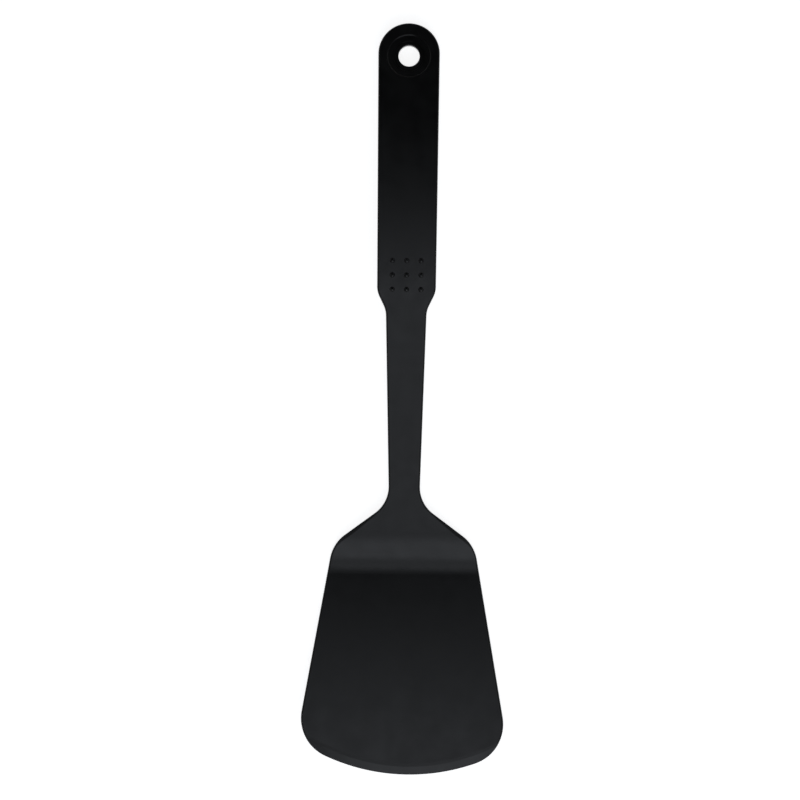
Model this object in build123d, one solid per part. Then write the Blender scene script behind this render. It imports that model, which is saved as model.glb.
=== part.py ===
"""A one-piece moulded nylon kitchen turner, resting on a table on its heel and the end of its handle.

The moulding is cut, for handling, into the regions that a toolmaker would name. They meet face to face:

  blade           the lifting plate, arched slightly nose down, with a bevel on its front edge
  shoulder        the bend behind the blade, and the sloping bevelled shoulders that gather in to the neck
  neck            the slim bar between the shoulder and the handle
  handle          the wide flat bar, with the flare that it starts from
  hanging_eye     the rounded end of the handle, with a stepped recess round the hanging hole
  grip_pip_1..9   the raised pips under the thumb, in three rows of three

Everything is worked out with Y measured from the tip of the blade towards the handle, and is moved at
the end, so that the origin lies on the table under the middle of the turner.
"""

import math
import os

from build123d import *

LENGTH = 330.0
MARGIN = 10.0  # cutting shapes reach this far past what they cut
WIDE = 120.0  # wider than the turner

# Plan, seen from above: corners of one side as (half width, distance from the tip), before rounding
TIP_ARC_RADIUS = 88.0
TIP_ARC_SHIFT = 2.8  # the arc's middle is this far to +X, so the front edge is a little askew
SHOULDER_CORNER = (31.2, 100.8)
BLADE_SIDE_FLARE = 0.1744  # half width gained for each millimetre towards the tip
NECK_FOOT = (6.7, 119.0)
FLARE_FOOT = (8.94, 203.6)
FLARE_TOP = (12.85, 211.7)
HANDLE_END_RADIUS = 13.5

BLADE_CORNER_RADIUS = 18.2
SHOULDER_CORNER_RADIUS = 16.5
NECK_FOOT_RADIUS = 14.6
FLARE_FOOT_RADIUS = 11.0
FLARE_TOP_RADIUS = 9.1

# Side view of the top face: distances from the tip at which its slope changes, the slope of each
# stretch in degrees, rising towards the handle, and the radius that rounds each change
TOP_PLACES = (0.0, 46.0, 91.9, 103.5, 150.0, 212.0, 258.0, LENGTH)
TOP_SLOPES = (-2.5, -9.5, 17.0, 4.0, 6.14, 2.0, -8.7)
TOP_RADII = (650.0, 18.0, 30.0, 1300.0, 200.0, 410.0)

# Side view of the underside: thickness below the top face at these distances from the tip
UNDER_PLACES = (0.0, 46.0, 91.9, 103.5, 150.0, 200.0, 212.0, 258.0, LENGTH)
THICKNESSES = (2.5, 2.4, 2.9, 3.6, 4.2, 4.8, 6.5, 6.5, 6.5)
UNDER_RADII = (600.0, 27.0, 26.0, 1300.0, 30.0, 40.0, 403.5)

EDGE_RADIUS = 0.8

# Bevel on top of the blade's front edge, as (width, angle) of two cones round the tip arc's middle:
# a shallow one leads into the steep one
TIP_BEVELS = ((4.9, 9.5), (4.2, 19.0))

# Bevel along both sloping shoulders: the distances from the tip between which it swells and fades
SHOULDER_BEVEL_ENDS = (96.0, 121.0)
SHOULDER_BEVEL_ANGLE = 35.0
SHOULDER_BEVEL_REACH = 2.0  # the cutting shape runs this far below and above the top face

# Distances from the tip at which the regions meet
BLADE_END = 86.0
SHOULDER_END = 127.0
NECK_END = 200.0
HANDLE_END = 300.0

# Hanging hole, and the two steps of the recess round it: radius at the floor, and depth
HOLE_PLACE = 315.5
HOLE_RADIUS = 4.65
RECESS_STEPS = ((9.2, 0.5), (6.6, 1.1))
STEP_WALL_RUN = 0.45  # how much wider each step is at its top than at its floor
HOLE_EDGE_RADIUS = 0.4

# Grip pips
PIP_RADIUS = 1.15
PIP_HEIGHT = 0.75
PIP_PITCH = 6.3
PIP_MIDDLE_ROW = 219.0


def tangent(degrees):
    """The rise over a run of one, at a slope in degrees."""
    return math.tan(math.radians(degrees))


def top_corners():
    """The corners of the top face's line in the side view, as (distance from the tip, height)."""
    corners = [(TOP_PLACES[0], 0.0)]
    for place, slope in zip(TOP_PLACES[1:], TOP_SLOPES):
        last_place, last_height = corners[-1]
        corners.append((place, last_height + (place - last_place) * tangent(slope)))
    return corners


def height_on(corners, place):
    """The height at a distance from the tip, on the straight runs between corners."""
    for (start, low), (end, high) in zip(corners, corners[1:]):
        if start <= place <= end:
            return low + (high - low) * (place - start) / (end - start)
    raise ValueError(f"{place} is off the turner")


def under_corners():
    """The corners of the underside's line in the side view."""
    top = top_corners()
    return [(place, height_on(top, place) - t) for place, t in zip(UNDER_PLACES, THICKNESSES)]


def run_on(corners):
    """The same line with both ends run straight on past the turner's ends."""
    (y0, z0), (y1, z1) = corners[:2]
    (y8, z8), (y9, z9) = corners[-2:]
    before = (y0 - MARGIN, z0 - MARGIN * (z1 - z0) / (y1 - y0))
    after = (y9 + MARGIN, z9 + MARGIN * (z9 - z8) / (y9 - y8))
    return [before, *corners[1:-1], after]


def side_slab():
    """The side view, carried across the turner's whole width."""
    top = FilletPolyline(*[(0, y, z) for y, z in run_on(top_corners())], radius=TOP_RADII)
    under = FilletPolyline(*[(0, y, z) for y, z in run_on(under_corners())], radius=UNDER_RADII)
    ends = [Line(top @ 0, under @ 0), Line(top @ 1, under @ 1)]
    face = make_face([*top.edges(), *under.edges(), *[end.edge() for end in ends]])
    return extrude(face, WIDE / 2, dir=(1, 0, 0), both=True)


def blade_corner(side):
    """Where the blade's side line meets the tip arc, as (half width, distance from the tip)."""
    half, place = SHOULDER_CORNER
    reach = half + BLADE_SIDE_FLARE * (place - TIP_ARC_RADIUS)
    # the side line is half = reach + flare * up, and the arc is (half - shift)^2 + up^2 = radius^2
    inner_reach = reach - side * TIP_ARC_SHIFT
    a = 1 + BLADE_SIDE_FLARE**2
    b = inner_reach * BLADE_SIDE_FLARE
    c = inner_reach**2 - TIP_ARC_RADIUS**2
    up = (-b + math.sqrt(b**2 - a * c)) / a
    return reach + BLADE_SIDE_FLARE * up, TIP_ARC_RADIUS - up


def end_shoulder():
    """Where the handle's side line runs into the round end without a kink, in the same form."""
    half, place = FLARE_TOP
    centre = LENGTH - HANDLE_END_RADIUS
    reach = math.hypot(half, centre - place)
    turn = math.atan2(half, centre - place) + math.acos(HANDLE_END_RADIUS / reach)
    return HANDLE_END_RADIUS * math.sin(turn), centre - HANDLE_END_RADIUS * math.cos(turn)


def side_line(side):
    """One side of the outline from above, +1 for the side towards +X and -1 for the other."""
    corners = [blade_corner(side), SHOULDER_CORNER, NECK_FOOT, FLARE_FOOT, FLARE_TOP, end_shoulder()]
    radii = [SHOULDER_CORNER_RADIUS, NECK_FOOT_RADIUS, FLARE_FOOT_RADIUS, FLARE_TOP_RADIUS]
    return FilletPolyline(*[(side * half, place) for half, place in corners], radius=radii)


def plan_outline():
    """The turner's outline from above."""
    right, left = side_line(1), side_line(-1)
    end_arc = ThreePointArc(right @ 1, (0, LENGTH), left @ 1)
    tip_arc = ThreePointArc(right @ 0, (TIP_ARC_SHIFT, 0), left @ 0)
    face = make_face([*right.edges(), *left.edges(), end_arc.edge(), tip_arc.edge()])
    return fillet(face.vertices().sort_by(Axis.Y)[:2], BLADE_CORNER_RADIUS)


def moulding():
    """The whole turner with its edges rounded, before the bevel, the recess and the pips."""
    prism = extrude(plan_outline(), WIDE, both=True)
    body = (side_slab() & prism).solid()
    walls = body.faces().filter_by(lambda face: abs(face.normal_at().Z) < 0.001)
    rims = ShapeList(edge for wall in walls for edge in wall.edges()).filter_by(Axis.Z, reverse=True)
    return fillet(rims, EDGE_RADIUS).solid()


def between(body, start, end):
    """The stretch of the moulding between two distances from the tip."""
    block = Box(WIDE, end - start, WIDE, align=(Align.CENTER, Align.MIN, Align.CENTER))
    return (body & (Pos(0, start, 0) * block)).solid()


def seat_on_top(body, x, place):
    """A plane that lies on the top face at one point, with its Z pointing out of the turner."""
    hits = body.find_intersection_points(Axis((x, place, 0), (0, 0, 1)))
    point, normal = max(hits, key=lambda hit: hit[0].Z)
    return Plane(origin=point, x_dir=(1, 0, 0), z_dir=normal)


def blade(body):
    """The lifting plate, with the bevel that thins its front edge."""
    plate = between(body, -MARGIN, BLADE_END)
    for width, angle in TIP_BEVELS:
        border = seat_on_top(body, TIP_ARC_SHIFT, width)
        radius = TIP_ARC_RADIUS - width
        run = MARGIN / tangent(angle)
        inside = Cone(radius + run, radius - run, 2 * MARGIN)
        outside = Cylinder(radius + 2 * run, 2 * MARGIN - 1)
        plate -= border * Pos(0, radius, 0) * (outside - inside)
    return plate.solid()


def shoulder(body):
    """The bend behind the blade, with a bevel along its sloping sides that fades out at both ends."""
    bend = between(body, BLADE_END, SHOULDER_END)
    start, end = SHOULDER_BEVEL_ENDS
    low, high = [height_on(top_corners(), place) for place in SHOULDER_BEVEL_ENDS]
    middle = (start + end) / 2
    slope = math.degrees(math.atan2(high - low, end - start))
    # a chord under the crest of the bend: only what rises above it is bevelled
    chord = Pos(0, middle, (low + high) / 2) * Rot(X=slope) * Pos(0, -middle, -SHOULDER_BEVEL_REACH)
    foot = offset(plan_outline(), SHOULDER_BEVEL_REACH / tangent(SHOULDER_BEVEL_ANGLE))
    kept = extrude(foot, 2 * SHOULDER_BEVEL_REACH, taper=90 - SHOULDER_BEVEL_ANGLE)
    height = 2 * SHOULDER_BEVEL_REACH - EDGE_RADIUS
    block = Box(WIDE, end - start, height, align=(Align.CENTER, Align.CENTER, Align.MIN))
    return (bend - chord * (Pos(0, middle, 0) * block - kept)).solid()


def hanging_eye(body):
    """The rounded end of the handle, with the stepped recess and the hole that a hook goes through."""
    end = between(body, HANDLE_END, LENGTH + MARGIN)
    seat = seat_on_top(body, 0, HOLE_PLACE)
    for radius, depth in RECESS_STEPS:
        height = depth + MARGIN
        wide = radius + STEP_WALL_RUN * height / depth
        step = Cone(radius, wide, height, align=(Align.CENTER, Align.CENTER, Align.MIN))
        end -= seat * Pos(0, 0, -depth) * step
    end -= Pos(seat.origin) * Cylinder(HOLE_RADIUS, 3 * MARGIN)
    walls = end.faces().filter_by(GeomType.CYLINDER)
    hole = walls.filter_by(lambda wall: math.isclose(wall.radius, HOLE_RADIUS))[0]
    rims = hole.edges().filter_by(GeomType.LINE, reverse=True)
    return end.fillet(HOLE_EDGE_RADIUS, rims)


def grip_pips(body):
    """The raised pips, each a low dome standing on the handle's top face."""
    dome_radius = (PIP_RADIUS**2 + PIP_HEIGHT**2) / (2 * PIP_HEIGHT)
    pips = []
    for row in (1, 0, -1):
        for column in (-1, 0, 1):
            seat = seat_on_top(body, column * PIP_PITCH, PIP_MIDDLE_ROW + row * PIP_PITCH)
            dome = seat * Pos(0, 0, PIP_HEIGHT - dome_radius) * Sphere(dome_radius)
            pips.append((dome - body).solid())
    return pips


def nodes():
    """Every region of the turner by name, in its place on the table."""
    body = moulding()
    named = {
        "blade": blade(body),
        "shoulder": shoulder(body),
        "neck": between(body, SHOULDER_END, NECK_END),
        "handle": between(body, NECK_END, HANDLE_END),
        "hanging_eye": hanging_eye(body),
    }
    for number, pip in enumerate(grip_pips(body), start=1):
        named[f"grip_pip_{number}"] = pip
    table = body.bounding_box().min.Z
    return {name: Pos(0, -LENGTH / 2, -table) * shape for name, shape in named.items()}


os.makedirs("parts", exist_ok=True)
for name, shape in nodes().items():
    shape.label = name
    export_step(shape, f"parts/{name}.step")
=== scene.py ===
"""Looks of the one-piece nylon turner: satin black moulded plastic, a soft studio, and the camera above.

Lengths are in metres in the frame of the CAD model: +Y runs from the blade's tip to the handle's end, +Z up
from the table, and the origin is on the table under the middle of the turner.
"""

import math

import bpy
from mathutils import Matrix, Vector


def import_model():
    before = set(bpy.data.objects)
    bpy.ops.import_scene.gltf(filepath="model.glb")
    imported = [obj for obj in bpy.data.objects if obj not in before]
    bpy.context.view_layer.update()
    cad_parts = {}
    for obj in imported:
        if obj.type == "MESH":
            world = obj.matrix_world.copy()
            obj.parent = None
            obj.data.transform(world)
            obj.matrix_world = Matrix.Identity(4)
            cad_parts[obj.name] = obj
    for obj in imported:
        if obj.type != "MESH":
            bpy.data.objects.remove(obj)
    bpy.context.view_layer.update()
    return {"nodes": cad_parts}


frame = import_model()

MM = 0.001

# Camera: straight above, far off with a long lens, so that widths and lengths are nearly true
LENS = 205.0
SENSOR = 36.0
FIELD = 352.8 * MM  # what the picture spans on the table
CAMERA_ROLL = 0.64  # degrees: the turner leans a little, blade end to the left
CAMERA_PLACE = (-2.3 * MM, -0.7 * MM)
SIGHT = 100.0  # how far the camera sees, past the ends of the floor

# Nylon: a carbon black that reflects almost nothing but its gloss
BLACK = (0.0008, 0.00085, 0.00095)
GREYED_BLACK = (0.0022, 0.0023, 0.0025)  # in patches
GREYED_SIZE = 16 * MM
NYLON_IOR = 1.5

# Its roughness: the moulded faces' and the pips', which are a little smoother
SATIN = 0.33
PIP_GLOSS = 0.24
NOISE_RANGE = (0.3, 0.7)  # nearly all of a noise texture's values lie in here
MOTTLE_SIZE = 7 * MM
MOTTLE_SPREAD = 0.04  # roughness more and less
FLOW_SIZE = (5 * MM, 60 * MM, 5 * MM)  # long along the turner, the way plastic fills such a mould
FLOW_SPREAD = 0.015

# The fine grain of the mould
GRAIN_SIZE = 0.45 * MM
GRAIN_DEPTH = 0.02 * MM
GRAIN_STRENGTH = 0.25

# Floor: pale and matt, and glowing a little, as a light table does
FLOOR_SIZE = 40.0
FLOOR_COLOUR = (0.8, 0.8, 0.8)
FLOOR_ROUGHNESS = 0.9
FLOOR_SPECULAR = 0.1
FLOOR_GLOW = 0.86

# Brightness of the room by the height of the direction looked in, from the horizon (0) to overhead (1):
# pale only where the floor runs out to it
ROOM = ((0.04, 0.9), (0.07, 0.02), (1.0, 0.01))

COOL_WHITE = (0.95, 1.0, 1.08)  # of every softbox

# Softboxes as (width, depth, place, point they face, radiance). Those overhead and in front light the view
# from above, brightest on the bend behind the blade and least on the end of the handle. The others are
# weak, so that the bevels on the shoulders stay dark, and serve the views from the sides and the back.
SOFTBOXES = {
    "overhead": (1.4, 0.34, (0, -0.15, 1.5), (0, -0.15, 0), 0.84),
    "overhead_front": (1.4, 0.36, (0, -0.5, 1.5), (0, -0.5, 0), 0.4),
    "overhead_back": (1.4, 0.3, (0, 0.17, 1.5), (0, 0.17, 0), 0.25),
    "front": (1.5, 1.1, (0.2, -1.12, 1.19), (0, -0.05, 0), 0.95),
    "front_low": (2.8, 0.5, (0.5, -1.9, 0.45), (0, 0, 0), 0.55),
    "right": (2.4, 0.7, (1.6, 0.1, 0.85), (0, 0.1, 0), 0.3),
    "left": (2.4, 0.7, (-1.6, 0.1, 0.85), (0, 0.1, 0), 0.25),
    "back_left": (1.6, 0.8, (-1.25, 1.35, 0.85), (0, 0, 0), 0.18),
    "back_right": (1.6, 0.8, (1.25, 1.35, 0.85), (0, 0, 0), 0.22),
}


class Nodes:
    """The shader nodes of one material, made and wired by name."""

    def __init__(self, name):
        self.material = bpy.data.materials.new(name)
        self.material.use_nodes = True
        self.tree = self.material.node_tree
        self.shader = self.tree.nodes["Principled BSDF"]

    def add(self, kind, **inputs):
        """A new node, with its inputs set to values or wired from other nodes' outputs."""
        node = self.tree.nodes.new(kind)
        for name, value in inputs.items():
            self.set(node, name.replace("_", " "), value)
        return node

    def set(self, node, name, value):
        """Give one input a value, or wire it where the value is an output."""
        if isinstance(value, bpy.types.NodeSocket):
            self.tree.links.new(value, node.inputs[name])
        else:
            node.inputs[name].default_value = value

    def noise(self, place, size, detail):
        """Noise with lumps of one size, or of three sizes along X, Y and Z, and this much finer detail."""
        sizes = size if isinstance(size, tuple) else (size,) * 3
        scaled = self.add("ShaderNodeMapping", Vector=place, Scale=[1 / each for each in sizes])
        noise = self.add("ShaderNodeTexNoise", Vector=scaled.outputs["Vector"], Scale=1.0, Detail=detail)
        return noise.outputs["Fac"]

    def spread(self, value, low, high, to_low, to_high):
        """A value between low and high moved to between to_low and to_high."""
        ends = {"From_Min": low, "From_Max": high, "To_Min": to_low, "To_Max": to_high}
        return self.add("ShaderNodeMapRange", Value=value, **ends).outputs["Result"]

    def mixed_colour(self, first, second, share):
        """A colour that goes from the first to the second as the share goes from 0 to 1."""
        node = self.add("ShaderNodeMix", Factor=share)
        node.data_type = "RGBA"
        # by number, because the node's inputs for numbers, vectors and colours have the same names
        node.inputs[6].default_value = (*first, 1)
        node.inputs[7].default_value = (*second, 1)
        return node.outputs[2]

    def sum(self, first, second):
        """Two values added."""
        node = self.add("ShaderNodeMath")
        node.operation = "ADD"
        self.tree.links.new(first, node.inputs[0])
        self.tree.links.new(second, node.inputs[1])
        return node.outputs["Value"]


def nylon(name, gloss):
    """Black nylon as it leaves a finely grained mould, a little greyed in patches."""
    nodes = Nodes(name)
    place = nodes.add("ShaderNodeTexCoord").outputs["Object"]
    clouds = nodes.noise(place, GREYED_SIZE, detail=3)
    colour = nodes.mixed_colour(BLACK, GREYED_BLACK, nodes.spread(clouds, *NOISE_RANGE, 0.0, 1.0))
    patches = nodes.noise(place, MOTTLE_SIZE, detail=3)
    mottle = nodes.spread(patches, *NOISE_RANGE, -MOTTLE_SPREAD, MOTTLE_SPREAD)
    streaks = nodes.noise(place, FLOW_SIZE, detail=2)
    flow = nodes.spread(streaks, *NOISE_RANGE, gloss - FLOW_SPREAD, gloss + FLOW_SPREAD)
    grain = nodes.noise(place, GRAIN_SIZE, detail=3)
    bump = nodes.add("ShaderNodeBump", Strength=GRAIN_STRENGTH, Distance=GRAIN_DEPTH, Height=grain)
    nodes.set(nodes.shader, "Base Color", colour)
    nodes.set(nodes.shader, "Roughness", nodes.sum(mottle, flow))
    nodes.set(nodes.shader, "IOR", NYLON_IOR)
    nodes.set(nodes.shader, "Normal", bump.outputs["Normal"])
    return nodes.material


def world():
    """A dark studio with a pale horizon, which the floor runs out to."""
    made = bpy.data.worlds.new("studio")
    bpy.context.scene.world = made
    made.use_nodes = True
    nodes, links = made.node_tree.nodes, made.node_tree.links
    place = nodes.new("ShaderNodeTexCoord")
    split = nodes.new("ShaderNodeSeparateXYZ")
    ramp = nodes.new("ShaderNodeValToRGB")
    stops = ramp.color_ramp.elements
    for position, brightness in ROOM[1:-1]:
        stops.new(position)
    for stop, (position, brightness) in zip(stops, ROOM):
        stop.position = position
        stop.color = (brightness, brightness, brightness, 1)
    links.new(place.outputs["Generated"], split.inputs["Vector"])
    links.new(split.outputs["Z"], ramp.inputs["Fac"])
    links.new(ramp.outputs["Color"], nodes["Background"].inputs["Color"])


def floor():
    """A plain pale floor, which isn't part of the turner."""
    bpy.ops.mesh.primitive_plane_add(size=FLOOR_SIZE)
    plane = bpy.context.object
    plane.name = "floor"
    nodes = Nodes("pale_floor")
    nodes.set(nodes.shader, "Base Color", (*FLOOR_COLOUR, 1))
    nodes.set(nodes.shader, "Roughness", FLOOR_ROUGHNESS)
    nodes.set(nodes.shader, "Specular IOR Level", FLOOR_SPECULAR)
    nodes.set(nodes.shader, "Emission Color", (1, 1, 1, 1))
    nodes.set(nodes.shader, "Emission Strength", FLOOR_GLOW)
    plane.data.materials.append(nodes.material)


def softbox(name, width, depth, place, aim, radiance):
    """A rectangular soft light at a place, facing a point, that the camera doesn't see."""
    light = bpy.data.lights.new(name, "AREA")
    light.shape = "RECTANGLE"
    light.size = width
    light.size_y = depth
    light.energy = radiance * math.pi * width * depth
    light.color = COOL_WHITE
    lamp = bpy.data.objects.new(name, light)
    lamp.location = place
    lamp.rotation_euler = (Vector(aim) - Vector(place)).to_track_quat("-Z", "Y").to_euler()
    lamp.visible_camera = False
    bpy.context.scene.collection.objects.link(lamp)


def camera():
    """A long lens straight above the turner."""
    lens = bpy.data.cameras.new("camera")
    lens.lens = LENS
    lens.sensor_width = SENSOR
    lens.clip_end = SIGHT
    eye = bpy.data.objects.new("camera", lens)
    height = FIELD * LENS / SENSOR
    eye.location = (*CAMERA_PLACE, height)
    eye.rotation_euler = (0, 0, math.radians(CAMERA_ROLL))
    bpy.context.scene.collection.objects.link(eye)
    bpy.context.scene.camera = eye


moulded = nylon("black_nylon_satin", SATIN)
rubbed = nylon("black_nylon_rubbed", PIP_GLOSS)
for name, node in frame["nodes"].items():
    node.data.materials.clear()
    node.data.materials.append(rubbed if name.startswith("grip_pip") else moulded)
world()
floor()
for name, (width, depth, place, aim, radiance) in SOFTBOXES.items():
    softbox(name, width, depth, place, aim, radiance)
camera()
bpy.context.scene.view_settings.view_transform = "Standard"
